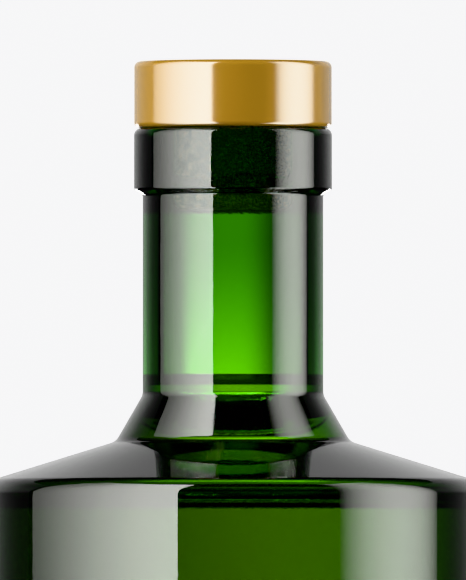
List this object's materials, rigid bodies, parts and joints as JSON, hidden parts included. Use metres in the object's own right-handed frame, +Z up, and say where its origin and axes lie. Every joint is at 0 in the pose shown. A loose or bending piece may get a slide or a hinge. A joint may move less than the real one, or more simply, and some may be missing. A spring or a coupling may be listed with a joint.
{
  "type": "glass oil bottle",
  "caption": "Round green glass bottle for table oil, with a sloping shoulder, short wide neck, gold-capped cork stopper and the oil inside.",
  "frame": {"origin": "centre of the base, on the plane that the bottle stands on", "axes": "+Z up along the bottle's axis of revolution, out of the mouth; X and Y are any two directions across it"},
  "size_m": [0.0832, 0.0832, 0.186],
  "materials": {
    "green_glass": "gloss",
    "oil": "gloss",
    "gold_aluminium": "satin",
    "core_plastic": "satin",
    "cork": "matte",
    "glue": "gloss"
  },
  "bodies": {
    "bottle": {"bottle_glass": "green_glass", "oil_fill": "oil"},
    "stopper": {"cap_shell": "gold_aluminium", "cap_core": "core_plastic", "cork_shank": "cork", "cork_glue": "glue"}
  },
  "joints": [
    {"name": "stopper_pull", "type": "slide", "parent": "bottle", "child": "stopper", "axis": [0, 0, 1], "range_m": [0, 0.045]}
  ]
}
